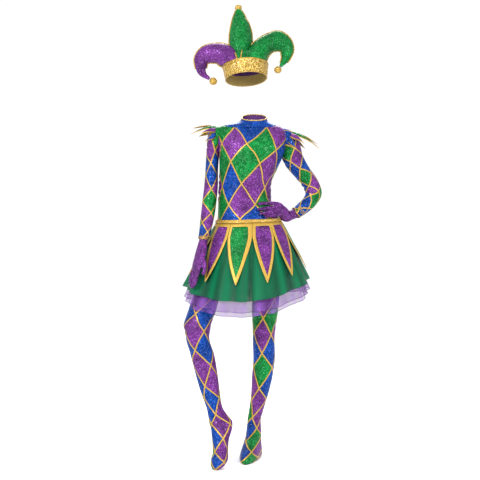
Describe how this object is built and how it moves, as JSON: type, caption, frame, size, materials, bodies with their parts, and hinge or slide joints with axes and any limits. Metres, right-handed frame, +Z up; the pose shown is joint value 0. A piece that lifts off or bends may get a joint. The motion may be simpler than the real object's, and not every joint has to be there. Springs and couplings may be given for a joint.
{
  "type": "costume",
  "caption": "Jester costume as worn: three-horned padded hat, harlequin catsuit with footed legs, shoulder points, gloves, and a belted skirt of pointed petals over tulle.",
  "frame": {"origin": "between the shoulders, inside the suit's neck, where the wearer holds it up: 1.400 m above the ground that the toes just clear, on the suit's centre line", "axes": "+Z up, -Y towards the front of the costume, -X towards the wearer's right"},
  "size_m": [0.5999, 0.5006, 1.9465],
  "materials": {
    "foil_purple": "glittering foil on stretch knit",
    "foil_green": "glittering foil on stretch knit",
    "foil_blue": "glittering foil on stretch knit",
    "harlequin_foil": "foil knit printed with purple, green and blue diamonds between gold lines",
    "glitter_gold": "gold glitter cloth",
    "brocade_gold": "gold brocade with raised scrolls and sequins",
    "zip_tape": "woven zip tape",
    "tulle_green": "sheer tulle, slight sheen",
    "tulle_purple": "sheer tulle, matt"
  },
  "bodies": {
    "root": {"hat_band": "brocade_gold", "hat_crown": "foil_purple", "hat_horn_right": "foil_purple", "hat_horn_left": "foil_green", "hat_horn_middle": "foil_green", "hat_bobble_middle": "glitter_gold", "hat_bobble_right": "glitter_gold", "hat_bobble_left": "glitter_gold", "collar": "foil_blue", "collar_binding": "glitter_gold", "bodice_front": "harlequin_foil", "bodice_back_right": "harlequin_foil", "bodice_back_left": "harlequin_foil", "back_zip": "zip_tape", "sleeve_right_front": "harlequin_foil", "sleeve_right_back": "harlequin_foil", "sleeve_left_front": "harlequin_foil", "sleeve_left_back": "harlequin_foil", "shoulder_points_right": "foil_green", "shoulder_points_left": "foil_green", "leg_right_front": "harlequin_foil", "leg_right_back": "harlequin_foil", "leg_left_front": "harlequin_foil", "leg_left_back": "harlequin_foil", "glove_right": "foil_purple", "glove_left": "foil_purple", "belt": "glitter_gold", "tulle_green": "tulle_green", "tulle_purple_upper": "tulle_purple", "tulle_purple_lower": "tulle_purple", "petal_01": "foil_purple", "petal_02": "foil_green", "petal_03": "foil_purple", "petal_04": "foil_purple", "petal_05": "foil_green", "petal_06": "foil_purple", "petal_07": "foil_purple", "petal_08": "foil_green", "petal_09": "foil_purple", "petal_10": "foil_purple", "petal_11": "foil_green"}
  },
  "joints": []
}
